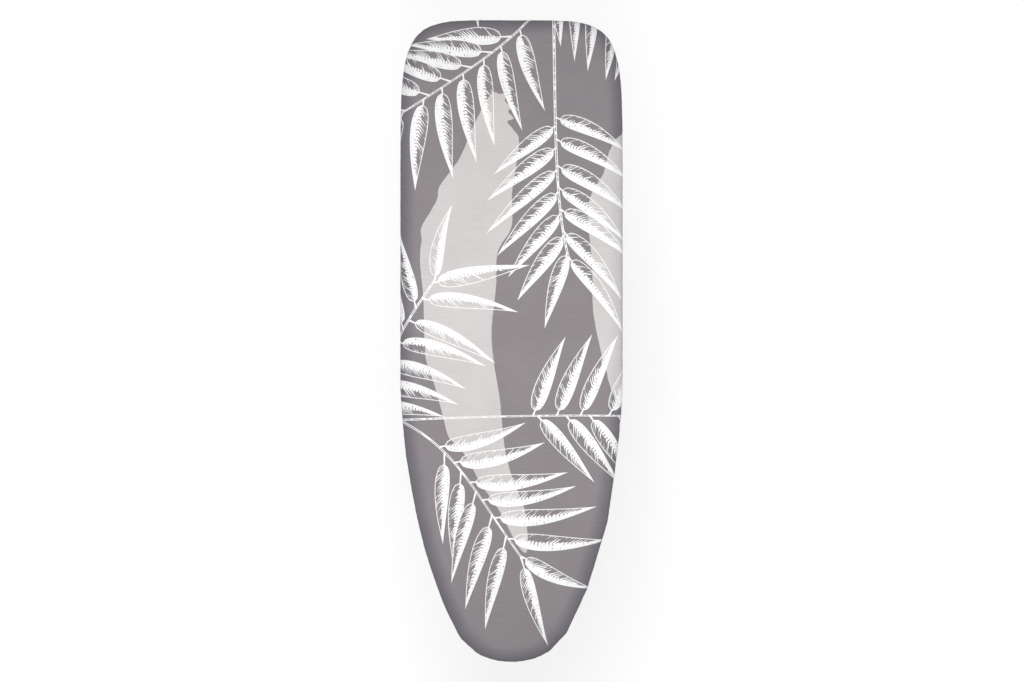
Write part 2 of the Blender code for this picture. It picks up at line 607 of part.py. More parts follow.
def make_lever(looks):
    """A bent steel lever over the bridge: a slot round the plates' tips, a pin, and a grip by the rail."""
    axis = empty("lever_axis", (LEVER_PIVOT_X, LEVER_Y, LEVER_BOTTOM))
    thick = LEVER_THICKNESS
    knee = RAIL_OUTER_FACE + 0.004 - LEVER_PIVOT_X
    drop = LEVER_BOTTOM - (AXLE_Z - 0.004)
    inner_end = -LEVER_PIVOT_X - 0.013
    outer_end = LEVER_REACH - LEVER_PIVOT_X
    side_view = [
        (inner_end, 0), (knee, 0), (knee, -drop), (outer_end, -drop), (outer_end, -drop + thick),
        (knee + thick, -drop + thick), (knee + thick, thick), (inner_end, thick),
    ]
    lever = prism("release_lever", side_view, LEVER_WIDTH, looks["zinc"], axis, (0, LEVER_WIDTH / 2, 0),
                  (math.pi / 2, 0, 0))
    slot = block("lever_slot", (-LEVER_PIVOT_X - TIP_SLOT_WIDTH / 2, -TIP_SLOT_LENGTH / 2, -0.01),
                 (-LEVER_PIVOT_X + TIP_SLOT_WIDTH / 2, TIP_SLOT_LENGTH / 2, 0.01), None, axis)
    cut(lever, slot)
    pin_radius = 0.003
    upright = (0, -math.pi / 2, 0)
    cut(lever, rod("lever_pin_bore", pin_radius + BORE_CLEARANCE, -0.01, 0.01, None, axis, rotation=upright))
    head = LEVER_TOP - LEVER_BOTTOM + GAP
    foot = BRIDGE_BOTTOM - LEVER_BOTTOM - GAP
    turned("lever_pin", [(foot - 0.0015, 0.0045), (foot, 0.0050), (foot, pin_radius), (head, pin_radius),
                         (head, 0.0055), (head + 0.0015, 0.0045)],
           looks["zinc"], location=axis.location, rotation=upright, closed=False)

    start = outer_end - 0.026
    low, high = (start, -0.014, -drop - 0.006), (start + GRIP_LENGTH, 0.014, -drop + thick + 0.006)
    grip = block("lever_grip", low, high, looks["plastic"], axis, bevel=0.004)
    cut(grip, block("grip_slot", (start - 0.01, -LEVER_WIDTH / 2 - GAP, -drop - GAP),
                    (outer_end + GAP, LEVER_WIDTH / 2 + GAP, -drop + thick + GAP), None, axis))


def main():
    clear_scene()
    looks = make_materials()
    make_cover(looks)
    make_pad(looks)
    make_steel_top(looks)
    rail("left", -1, looks)
    rail("right", 1, looks)
    make_hinge_axle(looks)

    outer_axis = empty("outer_leg_axis", (0, HINGE_Y, AXLE_Z), -LEG_LEAN)
    inner_axis = empty("inner_leg_axis", (0, CROSS_Y, CROSS_Z), LEG_LEAN)
    axle_bore = AXLE_RADIUS + BORE_CLEARANCE
    make_leg("outer_leg", outer_axis, 0.0, OUTER_TUBE_X, OUTER_FOOT_WIDTH, axle_bore, looks)
    make_leg("inner_leg", inner_axis, CROSS_DISTANCE, INNER_TUBE_X, INNER_FOOT_WIDTH, axle_bore, looks)
    make_cross_pivots(outer_axis, looks)
    make_slide_axle(inner_axis, CROSS_DISTANCE, looks)
    make_slider(looks)
    make_brake(looks)
    make_lever(looks)


main()
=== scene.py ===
"""The ironing board's visible surfaces: a printed cotton cover stretched over a felt pad, an expanded steel
sheet, painted tubes, zinc plated fittings, and nylon and plastic pieces. Metres, +Z up, nose to -Y."""

import json
import math

import bmesh
import bpy
import numpy as np
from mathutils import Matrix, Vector
from mathutils.geometry import delaunay_2d_cdt

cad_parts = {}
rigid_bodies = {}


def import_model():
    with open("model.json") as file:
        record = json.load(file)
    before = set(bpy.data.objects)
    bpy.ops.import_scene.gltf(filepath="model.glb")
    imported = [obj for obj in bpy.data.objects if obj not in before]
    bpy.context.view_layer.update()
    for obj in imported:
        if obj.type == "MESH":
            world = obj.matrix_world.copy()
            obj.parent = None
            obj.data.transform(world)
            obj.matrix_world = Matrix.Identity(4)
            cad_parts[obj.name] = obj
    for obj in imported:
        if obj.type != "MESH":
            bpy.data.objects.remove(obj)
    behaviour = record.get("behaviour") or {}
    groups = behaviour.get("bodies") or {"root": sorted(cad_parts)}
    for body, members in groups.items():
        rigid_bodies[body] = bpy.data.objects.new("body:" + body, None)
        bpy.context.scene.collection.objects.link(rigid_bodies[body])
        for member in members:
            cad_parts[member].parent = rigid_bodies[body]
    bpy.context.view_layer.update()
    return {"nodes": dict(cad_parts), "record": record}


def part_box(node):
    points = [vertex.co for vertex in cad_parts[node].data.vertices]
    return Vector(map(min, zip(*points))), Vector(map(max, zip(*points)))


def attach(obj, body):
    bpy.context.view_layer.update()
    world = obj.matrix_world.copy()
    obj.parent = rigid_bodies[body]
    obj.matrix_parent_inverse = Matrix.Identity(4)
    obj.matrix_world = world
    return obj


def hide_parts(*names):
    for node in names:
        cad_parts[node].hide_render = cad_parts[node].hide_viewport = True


for leftover in list(bpy.data.objects):
    bpy.data.objects.remove(leftover, do_unlink=True)
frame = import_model()

COVER_LOW, COVER_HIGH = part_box("cover")
PAD_LOW, PAD_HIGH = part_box("pad")
SHEET_LOW, SHEET_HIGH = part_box("mesh_top")
HALF_WIDTH, HALF_LENGTH = COVER_HIGH.x, COVER_HIGH.y
TOP = COVER_HIGH.z

# The board's outline, by the same rule as the frame's: how far each end's curve runs, and its powers.
TAIL_ROUND, TAIL_POWERS = 0.500, (5.4, 9.0)
NOSE_TAPER, NOSE_POWERS = 0.520, (2.5, 1.5)
RING_STEPS = 960

# The cover's section: the radius at the top, the radius under the rim, and how far in the hem ends.
SHOULDER = 0.0075
TURN = 0.006
HEM_REACH = 0.028

DARK = (0.255, 0.233, 0.246, 1)
PALE = (0.605, 0.580, 0.574, 1)
WHITE = (0.950, 0.950, 0.945, 1)
PAINT = (0.60, 0.61, 0.63, 1)

# The kinds of printed shape, as the ink map holds them.
LEAF, STEM, STALK = 1, 2, 3


def add_object(name, data):
    made = bpy.data.objects.new(name, data)
    bpy.context.scene.collection.objects.link(made)
    return made


# ---------------------------------------------------------------- material nodes
class Look:
    """A material and short names for its nodes."""

    def __init__(self, name, roughness, metallic=0.0, specular=0.5, sheen=0.0, coat=0.0):
        self.material = bpy.data.materials.new(name)
        self.material.use_nodes = True
        self.tree = self.material.node_tree
        self.shader = self.tree.nodes["Principled BSDF"]
        self.shader.inputs["Roughness"].default_value = roughness
        self.shader.inputs["Metallic"].default_value = metallic
        self.shader.inputs["Specular IOR Level"].default_value = specular
        self.shader.inputs["Sheen Weight"].default_value = sheen
        self.shader.inputs["Coat Weight"].default_value = coat
        self.place = self.node("ShaderNodeTexCoord").outputs["Object"]

    def node(self, kind, **settings):
        made = self.tree.nodes.new(kind)
        for key, value in settings.items():
            setattr(made, key, value)
        return made

    def put(self, socket, value):
        if isinstance(value, bpy.types.NodeSocket):
            self.tree.links.new(value, socket)
        else:
            socket.default_value = value

    def math(self, operation, *values):
        made = self.node("ShaderNodeMath", operation=operation)
        for socket, value in zip(made.inputs, values):
            self.put(socket, value)
        return made.outputs[0]

    def add(self, first, second):
        return self.math("ADD", first, second)

    def sub(self, first, second):
        return self.math("SUBTRACT", first, second)

    def mul(self, first, second):
        return self.math("MULTIPLY", first, second)

    def div(self, first, second):
        return self.math("DIVIDE", first, second)

    def most(self, first, second):
        return self.math("MAXIMUM", first, second)

    def step(self, value, low, high, start=0.0, end=1.0):
        """A smooth change from start to end while value goes from low to high."""
        made = self.node("ShaderNodeMapRange", interpolation_type="SMOOTHSTEP")
        for socket, item in zip(made.inputs, (value, low, high, start, end)):
            self.put(socket, item)
        return made.outputs[0]

    def mix(self, factor, first, second):
        made = self.node("ShaderNodeMix", data_type="RGBA")
        for socket, item in zip((made.inputs[0], made.inputs[6], made.inputs[7]), (factor, first, second)):
            self.put(socket, item)
        return made.outputs[2]

    def shade(self, colour, factor):
        """colour made lighter or darker by a factor round 1."""
        made = self.node("ShaderNodeVectorMath", operation="SCALE")
        self.put(made.inputs[0], colour if isinstance(colour, bpy.types.NodeSocket) else colour[:3])
        self.put(made.inputs["Scale"], factor)
        return made.outputs[0]

    def scaled(self, vector, factors):
        """A colour or a place, with each of its three parts times its own factor."""
        made = self.node("ShaderNodeVectorMath", operation="MULTIPLY")
        self.put(made.inputs[0], vector)
        self.put(made.inputs[1], factors)
        return made.outputs[0]

    def join(self, x, y, z=0.0):
        made = self.node("ShaderNodeCombineXYZ")
        for socket, item in zip(made.inputs, (x, y, z)):
            self.put(socket, item)
        return made.outputs[0]

    def split(self, vector):
        made = self.node("ShaderNodeSeparateXYZ")
        self.put(made.inputs[0], vector)
        return made.outputs

    def noise(self, scale, detail=2.0, where=None, roughness=0.5):
        made = self.node("ShaderNodeTexNoise")
        self.put(made.inputs["Vector"], self.place if where is None else where)
        made.inputs["Scale"].default_value = scale
        made.inputs["Detail"].default_value = detail
        made.inputs["Roughness"].default_value = roughness
        return made.outputs["Fac"]

    def grain(self, detail, x, rate_x, y, rate_y, seed=0.0):
        """Noise over two coordinates, each with its own rate."""
        return self.noise(1.0, detail, self.join(self.mul(x, rate_x), self.mul(y, rate_y), seed))

    def cells(self, scale):
        """A random colour for each cell."""
        made = self.node("ShaderNodeTexVoronoi")
        self.put(made.inputs["Vector"], self.place)
        made.inputs["Scale"].default_value = scale
        return made.outputs["Color"]

    def bump(self, height, depth, strength=1.0):
        made = self.node("ShaderNodeBump")
        self.put(made.inputs["Height"], height)
        made.inputs["Distance"].default_value = depth
        made.inputs["Strength"].default_value = strength
        self.put(self.shader.inputs["Normal"], made.outputs[0])

    def finish(self, colour, roughness=None):
        self.put(self.shader.inputs["Base Color"], colour)
        if roughness is not None:
            self.put(self.shader.inputs["Roughness"], roughness)
        return self.material


def weave(look, x, y, pitch):
    """The height of a plain weave at cloth coordinates x, y."""
    rate = 2 * math.pi / pitch
    return look.mul(look.math("SINE", look.mul(x, rate)), look.math("SINE", look.mul(y, rate)))


def strokes(look, run, shift, pitch, seed):
    """Slanted hatching: how far each place is from its stroke's middle (0 to 0.5), and a number per stroke."""
    line = look.div(look.sub(run, shift), pitch)
    off = look.math("ABSOLUTE", look.sub(look.math("FRACT", line), 0.5))
    chance = look.node("ShaderNodeTexWhiteNoise", noise_dimensions="2D")
    look.put(chance.inputs["Vector"], look.join(look.math("FLOOR", line), seed))
    return off, chance.outputs["Value"]


def printed_cotton():
    """Cotton with a leaf print. The maps hold each leaf's own coordinates, and the ink is drawn from them."""
    look = Look("printed_cotton", 0.86, specular=0.25, sheen=0.10)

    def uv(name):
        made = look.split(look.node("ShaderNodeUVMap", uv_map=name).outputs[0])
        return made[0], made[1]

    leaf, across = uv("leaf")
    edge, kind = uv("ink")
    past_edge, on_wash = uv("band")
    x, y = uv("cloth")
    along = look.math("FRACT", leaf)
    seed = look.mul(look.math("FLOOR", leaf), 7.31)

    # In a leaf's own frame: about millimetres along it, and 0 at its middle line to 1 at its edge across it.
    run = look.mul(along, 155.0)
    reach = look.math("ABSOLUTE", across)
    open_half = look.most(look.mul(across, -1.0), 0.0)
    brush = look.grain(3.0, run, 0.16, across, 2.6, seed)
    coarse = look.grain(2.0, run, 0.045, across, 0.5, seed)
    slanted = look.add(look.mul(open_half, 17.0), look.mul(look.sub(brush, 0.5), 3.4))

    # The inked half, which closes over the whole leaf towards its tip.
    closing = look.step(along, 0.72, 1.0, -0.10, 1.00)
    lean = look.add(look.mul(look.sub(coarse, 0.5), 1.5), closing)
    middle = look.add(look.add(across, look.mul(look.sub(brush, 0.5), 0.5)), lean)
    filled = look.step(middle, -0.03, 0.05)

    # Bare flecks in the ink, most of them near the leaf's rim and its spine.
    fleck = look.grain(2.0, look.add(run, look.mul(across, 14.0)), 0.30, across, 3.2, look.add(seed, 3.0))
    rim = look.mul(look.step(across, 0.50, 0.72), look.step(across, 0.84, 0.96, 1.0, 0.0))
    spine = look.step(look.math("ABSOLUTE", look.sub(middle, 0.16)), 0.05, 0.22, 1.0, 0.0)
    bare = look.most(look.mul(rim, 0.9), spine)
    worn = look.mul(bare, look.step(coarse, 0.35, 0.62, 0.06, 0.17))
    scuffed = look.step(look.add(fleck, worn), 0.670, 0.700)
    body = look.mul(filled, look.sub(1.0, scuffed))

    # Strokes that leave the inked half at a slant, each with its own length, and short ones in from the edge.
    off, chance = strokes(look, run, slanted, 6.2, seed)
    length = look.step(look.add(chance, look.mul(look.sub(coarse, 0.5), 1.2)), 0.15, 1.1, 0.08, 1.10)
    thick = look.mul(look.sub(1.0, look.div(open_half, length)), 0.36)
    hatch = look.math("LESS_THAN", off, thick)
    off, chance = strokes(look, run, look.add(slanted, 2.0), 4.6, look.add(seed, 50.0))
    length = look.mul(look.mul(chance, chance), 0.70)
    thick = look.mul(look.sub(1.0, look.div(look.sub(1.0, reach), length)), 0.26)
    hatch = look.most(hatch, look.math("LESS_THAN", off, thick))
    outline = look.step(edge, 1.05, 1.60, 1.0, 0.0)
    leaf_ink = look.most(outline, look.most(body, hatch))

    # A stem: two lines with a broken dark gap between them. A stalk is all ink.
    gap = look.noise(1.0, 2.0, look.join(look.mul(look.add(x, y), 160.0), reach, seed))
    stem_ink = look.most(look.step(reach, 0.30, 0.44), look.step(gap, 0.52, 0.56))

    def is_kind(wanted):
        return look.math("LESS_THAN", look.math("ABSOLUTE", look.sub(kind, float(wanted))), 0.5)

    ink = look.most(look.mul(is_kind(LEAF), leaf_ink), look.mul(is_kind(STEM), stem_ink))
    ink = look.most(ink, look.math("GREATER_THAN", kind, STALK - 0.5))

    ground = look.mix(look.step(on_wash, 0.4, 0.6), DARK, PALE)
    colour = look.mix(look.mul(ink, 0.97), ground, WHITE)
    # Painted shade: the cloth is darker and cooler from just inside the flat top's edge to where it is drawn down
    # over the board's edge, the ink and the washes less so.
    painted_edge_shade = look.step(past_edge, -24.0, 3.0)
    shade_spared = look.most(look.mul(ink, 0.6), look.mul(on_wash, 0.65))
    shaded_colour = look.scaled(colour, (0.64, 0.65, 0.70))
    # The painted shade is mixed into the cloth's colour here.
    colour = look.mix(look.mul(painted_edge_shade, look.sub(1.0, shade_spared)), colour, shaded_colour)

    slub = look.grain(3.0, x, 22.0, y, 420.0)
    warp = look.grain(2.0, x, 520.0, y, 60.0)
    cloud = look.grain(2.0, x, 9.0, y, 9.0)
    threads = look.add(look.add(slub, look.mul(warp, 0.5)), cloud)
    colour = look.shade(colour, look.step(threads, 0.8, 1.7, 0.93, 1.06))
    height = look.add(look.mul(weave(look, x, y, 0.0011), 0.5), look.add(slub, warp))
    look.bump(height, 0.00022, 0.55)
    return look.finish(colour)


def plain_cotton(name, colour):
    """Unprinted cotton of one colour, with its weave and uneven threads."""
    look = Look(name, 0.9, specular=0.2, sheen=0.15)
    places = look.split(look.place)
    threads = look.noise(1.0, 3.0, look.scaled(look.place, (500.0, 60.0, 400.0)))
    look.bump(look.add(weave(look, places[0], places[1], 0.0012), threads), 0.0002, 0.6)
    return look.finish(look.shade(colour, look.step(threads, 0.3, 0.7, 0.85, 1.12)))


def felt():
    """Off-white felt with tufts and a few darker flecks."""
    look = Look("felt", 0.95, specular=0.15, sheen=0.3)
    fibres = look.noise(900.0, 5.0, roughness=0.7)
    tufts = look.noise(120.0, 3.0)
    flecks = look.step(look.noise(340.0, 2.0), 0.66, 0.74)
    look.bump(look.add(fibres, tufts), 0.0008, 0.7)
    colour = look.mix(flecks, (0.74, 0.72, 0.67, 1), (0.30, 0.33, 0.40, 1))
    return look.finish(look.shade(colour, look.step(tufts, 0.3, 0.7, 0.86, 1.08)))


def powder_paint(name, colour):
    """Powder coat: an even satin colour with orange peel, and dull worn spots along rubbed places."""
    look = Look(name, 0.38, coat=0.25)
    look.shader.inputs["Coat Roughness"].default_value = 0.25
    peel = look.noise(700.0, 2.0)
    stain = look.noise(14.0, 4.0)
    scuff = look.step(look.noise(60.0, 5.0, roughness=0.75), 0.66, 0.74)
    look.bump(peel, 0.00012, 0.5)
    tone = look.shade(colour, look.step(stain, 0.3, 0.7, 0.93, 1.05))
    rough = look.add(look.step(stain, 0.2, 0.8, 0.30, 0.46), look.mul(scuff, 0.22))
    return look.finish(look.mix(look.mul(scuff, 0.20), tone, (0.36, 0.36, 0.37, 1)), rough)


def zinc_plate():
    """Bright zinc: a brushed sheen, cloudy spangles and fine scratches."""
    look = Look("zinc_plate", 0.34, metallic=0.95)
    tone = look.split(look.cells(240.0))[0]
    brushed = look.noise(1.0, 3.0, look.scaled(look.place, (900.0, 60.0, 900.0)))
    scratch = look.step(look.noise(1.0, 5.0, look.scaled(look.place, (60.0, 1500.0, 60.0))), 0.68, 0.72)
    look.bump(look.add(brushed, look.mul(scratch, -0.6)), 0.00008, 0.5)
    colour = look.shade((0.66, 0.67, 0.69, 1), look.step(tone, 0.0, 1.0, 0.95, 1.03))
    rough = look.add(look.step(tone, 0.0, 1.0, 0.29, 0.37), look.mul(scratch, 0.2))
    return look.finish(colour, rough)


def moulded(name, colour, grain, roughness):
    """Moulded plastic with a fine spark-eroded grain and a few rubbed spots."""
    look = Look(name, roughness)
    fine = look.noise(grain, 2.0)
    wide = look.noise(45.0, 4.0)
    look.bump(fine, 0.00015, 0.55)
    rough = look.step(wide, 0.3, 0.7, roughness - 0.10, roughness + 0.08)
    return look.finish(look.shade(colour, look.step(wide, 0.3, 0.7, 0.86, 1.12)), rough)


# ---------------------------------------------------------------- the board's outline
def quarter(along, powers):
    """A quarter of a superellipse, half the board wide, from its widest place to its end."""
    angle = np.linspace(0, np.pi / 2, 500)
    x = HALF_WIDTH * np.cos(angle).clip(0) ** (2 / powers[0])
    return x, along * np.sin(angle) ** (2 / powers[1])


def even_outline(count):
    """Points at even steps round the board, anticlockwise from the tail's middle, and outward directions."""
    tail_x, tail_y = quarter(TAIL_ROUND, TAIL_POWERS)
    nose_x, nose_y = quarter(NOSE_TAPER, NOSE_POWERS)
    x = np.concatenate([-tail_x[::-1], -nose_x, nose_x[::-1], tail_x])
    y = np.concatenate([HALF_LENGTH - TAIL_ROUND + tail_y[::-1], NOSE_TAPER - HALF_LENGTH - nose_y])
    y = np.concatenate([y, y[::-1]])
    step = np.hypot(np.diff(x, append=x[0]), np.diff(y, append=y[0]))
    at = np.concatenate([[0], np.cumsum(step)])
    wanted = np.linspace(0, at[-1], count, endpoint=False)
    points = np.stack([np.interp(wanted, at, np.append(x, x[0])), np.interp(wanted, at, np.append(y, y[0]))], 1)
    for _ in range(3):
        points = (np.roll(points, 1, 0) + 2 * points + np.roll(points, -1, 0)) / 4
    ahead = np.roll(points, -1, 0) - np.roll(points, 1, 0)
    ahead /= np.linalg.norm(ahead, axis=1)[:, None]
    return points, np.stack([ahead[:, 1], -ahead[:, 0]], 1)


EDGE, OUT = even_outline(RING_STEPS)
FLAT_EDGE = EDGE - OUT * SHOULDER
STEP_LENGTH = np.linalg.norm(np.roll(FLAT_EDGE, -1, 0) - FLAT_EDGE, axis=1).mean()


def bend_of_edge():
    """How sharply the outline turns at each step, from 0 on a straight side to 1 at the tightest place."""
    turn = np.cross(OUT, np.roll(OUT, -1, 0))
    for _ in range(30):
        turn = (np.roll(turn, 1) + 2 * turn + np.roll(turn, -1)) / 4
    return (turn / turn.max()).clip(0, 1)


BEND = bend_of_edge()


def waves(seed, lengths, weights):
    """A smooth closed wave round the outline from -1 to 1, of several wavelengths in metres."""
    rng = np.random.default_rng(seed)
    total = STEP_LENGTH * RING_STEPS
    at = np.arange(RING_STEPS) / RING_STEPS * 2 * np.pi
    drift = np.cumsum(rng.normal(0, 1, RING_STEPS))
    drift -= np.linspace(0, drift[-1], RING_STEPS)
    kernel = np.exp(-((np.arange(-60, 61) / 25.0) ** 2))  # a bell about 25 steps wide
    drift = np.convolve(np.tile(drift, 3), kernel / kernel.sum(), "same")[RING_STEPS : 2 * RING_STEPS]
    made = sum(weight * np.sin(round(total / length) * at + drift * 0.35 * (i + 1))
               for i, (length, weight) in enumerate(zip(lengths, weights)))
    return made / sum(weights)


def pull_of(bend):
    """How strongly the elastic gathers the hem: a little on the straight sides, and most on the curves."""
    return 0.35 + 0.65 * bend**0.5


GATHERS = waves(5, (0.0165, 0.0120), (1.0, 0.7))
PUCKERS = waves(8, (0.070, 0.041), (1.0, 0.6))

# Where the cloth is held a little out or in from the outline: x, y, how far, and over what length.
TUGS = ((-0.094, -0.556, 0.0046, 0.020), (0.105, -0.548, 0.0046, 0.022), (0.147, -0.466, 0.0026, 0.014),
        (0.178, -0.338, 0.0046, 0.055), (-0.197, -0.218, 0.0014, 0.014), (-0.148, -0.450, -0.0018, 0.050),
        (0.073, -0.582, 0.0030, 0.014), (-0.066, -0.583, 0.0020, 0.014), (-0.060, 0.600, 0.0008, 0.012))


def tugs():
    """How far out each step of the outline is held, as a sum of rounded peaks."""
    blunt = 0.004
    pull = np.zeros(RING_STEPS)
    for x, y, amount, length in TUGS:
        centre = np.argmin(((EDGE - (x, y)) ** 2).sum(1))
        away = np.abs((np.arange(RING_STEPS) - centre + RING_STEPS // 2) % RING_STEPS - RING_STEPS // 2)
        pull += amount * np.exp(-np.sqrt((away * STEP_LENGTH) ** 2 + blunt**2) / length)
    return pull


PULL = tugs()


# ---------------------------------------------------------------- the print's drawing
def bezier(points, steps):
    """Points along a Bezier curve of any degree."""
    points = np.array(points, float)
    at = np.linspace(0, 1, steps)[:, None]
    degree = len(points) - 1
    return sum(math.comb(degree, i) * (1 - at) ** (degree - i) * at**i * points[i] for i in range(degree + 1))


def taper(u, start, end):
    """A leaf's half width at u, from 0 to 1 along it: 1 at its widest, blunt for a low power at that end."""
    peak = start / (start + end)
    return (u / peak).clip(0) ** start * ((1 - u) / (1 - peak)).clip(0) ** end


def nearest_on(points, start, end):
    """For each point and each segment: the nearest place's share along the segment, and its distance."""
    run = end - start
    gap = points[:, None] - start
    share = ((gap * run).sum(2) / (run**2).sum(1).clip(1e-12)).clip(0, 1)
    return share, np.linalg.norm(gap - share[..., None] * run, axis=2)


class Shape:
    """A printed shape: a centre line with a half width along it, so any point has coordinates in it."""

    def __init__(self, kind, line, half, flip=1):
        self.kind, self.line, self.half, self.flip = kind, line, half, flip
        ahead = np.gradient(line, axis=0)
        ahead /= np.linalg.norm(ahead, axis=1)[:, None]
        self.left = np.stack([-ahead[:, 1], ahead[:, 0]], 1)
        outline = np.concatenate([line - self.left * half[:, None], (line + self.left * half[:, None])[::-1]])
        gap = np.linalg.norm(np.diff(outline, axis=0, append=outline[:1]), axis=1)
        self.outline = outline[gap > 0.0002]

    def coordinates(self, points):
        """(along 0..1, across -1..1, distance to the outline in mm) of points."""
        share, away = nearest_on(points, self.line[:-1], self.line[1:])
        best = away.argmin(1)
        rows = np.arange(len(points))
        at = best + share[rows, best]
        here = np.stack([np.interp(at, np.arange(len(self.line)), self.line[:, k]) for k in (0, 1)], 1)
        left = np.stack([np.interp(at, np.arange(len(self.line)), self.left[:, k]) for k in (0, 1)], 1)
        half = np.interp(at, np.arange(len(self.line)), self.half).clip(0.0004)
        off = ((points - here) * left).sum(1)
        edge = nearest_on(points, self.outline, np.roll(self.outline, -1, 0))[1].min(1)
        along = (at / (len(self.line) - 1)).clip(0.001, 0.999)
        return along, (self.flip * off / half).clip(-1, 1), edge * 1000


def leaflet(base, heading, length, width, bend, flip):
    """A lens with a round base and a long tip, its centre line bent a little to one side."""
    ahead = np.array([math.cos(heading), math.sin(heading)])
    side = np.array([-ahead[1], ahead[0]])
    line = bezier([base, base + ahead * length * 0.45 + side * bend * 2, base + ahead * length], 27)
    return Shape(LEAF, line, width * taper(np.linspace(0, 1, len(line)), 0.46, 1.10), flip)


def evenly(line, count):
    """count points at even steps along a polyline."""
    at = np.concatenate([[0], np.cumsum(np.linalg.norm(np.diff(line, axis=0), axis=1))])
    wanted = np.linspace(0, at[-1], count)
    return np.stack([np.interp(wanted, at, line[:, k]) for k in (0, 1)], 1)


def frond(stem, thick, sides):
    """A stem with leaflets along both sides.

    Each side: +1 left or -1 right of the stem's direction, how many, the first and last place along the stem,
    headings in degrees and lengths spread along it, half width, stalk length, and bend towards the stem's end.
    """
    line = evenly(bezier(stem, 80), 60)
    rng = np.random.default_rng(int(1000 * abs(stem[0][0] - stem[-1][1])))
    shapes = []
    for side, count, first, last, headings, lengths, width, stalk, bend in sides:
        share = np.linspace(0, 1, count)
        headings = np.radians(np.interp(share, np.linspace(0, 1, len(headings)), headings))
        lengths = np.interp(share, np.linspace(0, 1, len(lengths)), lengths)
        for i in range(count):
            place = line[round((first + (last - first) * share[i]) * (len(line) - 1))]
            heading = headings[i] + rng.uniform(-0.035, 0.035)
            ahead = np.array([math.cos(heading), math.sin(heading)])
            base = place + ahead * stalk
            stalk_line = bezier([place, base + ahead * 0.003], 6)
            shapes.append(Shape(STALK, stalk_line, np.linspace(0.0019, 0.0011, len(stalk_line))))
            reach = lengths[i] * rng.uniform(0.97, 1.03)
            shapes.append(leaflet(base, heading, reach, width * rng.uniform(0.93, 1.07), -side * bend, -side))
    return shapes + [Shape(STEM, line, np.linspace(thick, thick * 0.75, len(line)))]


def print_shapes():
    """Six fronds laid over the cloth, in metres from the board's middle. Most run off its edge."""
    fronds = [
        frond([(-0.120, 0.720), (-0.020, 0.720), (0.120, 0.690), (0.250, 0.580)], 0.0020, [
            (-1, 5, 0.500, 0.940, (-84, -92, -96, -108), (0.124, 0.136, 0.108), 0.0120, 0.010, 0.0),
            (-1, 1, 0.100, 0.110, (-81,), (0.128,), 0.0095, 0.010, 0.0)]),
        frond([(0.062, 0.640), (0.020, 0.570), (-0.070, 0.510), (-0.250, 0.398)], 0.0021, [
            (-1, 6, 0.24, 0.84, (180, 176, 164, 160, 170), (0.142, 0.146, 0.150), 0.0155, 0.019, -0.003),
            (+1, 8, 0.19, 0.97, (-71, -75, -82, -82, -84, -94, -108, -116), (0.148, 0.158, 0.166, 0.160), 0.0150,
             0.010, 0.004)]),
        frond([(0.078, 0.640), (0.083, 0.430), (0.078, 0.270), (0.106, 0.158)], 0.0028, [
            (+1, 7, 0.462, 0.995, (-27, -30, -34, -38, -36, -49, -55), (0.145, 0.150, 0.166), 0.0150, 0.009, -0.009),
            (-1, 7, 0.495, 0.990, (-141, -141, -138, -135, -130, -127, -107), (0.143, 0.172, 0.150, 0.145), 0.0150,
             0.006, -0.003)]),
        frond([(-0.300, -0.150), (-0.245, -0.055), (-0.200, 0.035), (-0.144, 0.113)], 0.0026, [
            (-1, 6, 0.110, 0.870, (-5, -11, -16, -14, -26, -9), (0.150, 0.150, 0.160, 0.174), 0.0145, 0.012, 0.007),
            (+1, 4, 0.33, 0.80, (112, 104, 101), (0.120, 0.134), 0.0130, 0.012, -0.003),
            (-1, 1, 0.99, 1.0, (10,), (0.174,), 0.0155, 0.008, 0.001),
            (+1, 1, 1.0, 1.0, (76,), (0.142,), 0.0140, 0.008, -0.008)]),
        frond([(-0.262, -0.150), (-0.100, -0.143), (0.060, -0.136), (0.262, -0.141)], 0.0020, [
            (+1, 5, 0.575, 0.930, (67, 65, 63), (0.152, 0.158, 0.150), 0.0145, 0.010, -0.004),
            (-1, 5, 0.600, 0.965, (-50, -55, -52), (0.152, 0.158, 0.150), 0.0150, 0.010, 0.0)]),
        frond([(-0.250, -0.132), (-0.110, -0.180), (-0.080, -0.270), (0.021, -0.408)], 0.0022, [
            (+1, 7, 0.335, 0.985, (17, 14, 8, 8, 7, -2, -22), (0.155, 0.166, 0.173, 0.172, 0.178, 0.172, 0.134),
             0.0150, 0.010, 0.008),
            (-1, 6, 0.365, 0.990, (-91, -93, -107, -107, -103, -74), (0.150, 0.158, 0.160, 0.150), 0.0140, 0.022,
             -0.004)]),
    ]
    return [shape for made in fronds for shape in made]


def wash(points, seed, ragged):
    """A closed smooth blot through points, with a slightly uneven edge."""
    points = np.array(points, float)
    rng = np.random.default_rng(seed)
    made = []
    for i in range(len(points)):
        a, b, c, d = (points[(i + k) % len(points)] for k in (-1, 0, 1, 2))
        for t in np.arange(8) / 8:
            made.append(0.5 * (2 * b + (c - a) * t + (2 * a - 5 * b + 4 * c - d) * t**2
                               + (3 * b - a - 3 * c + d) * t**3))
    return np.array(made) + rng.normal(0, ragged, (len(made), 2))


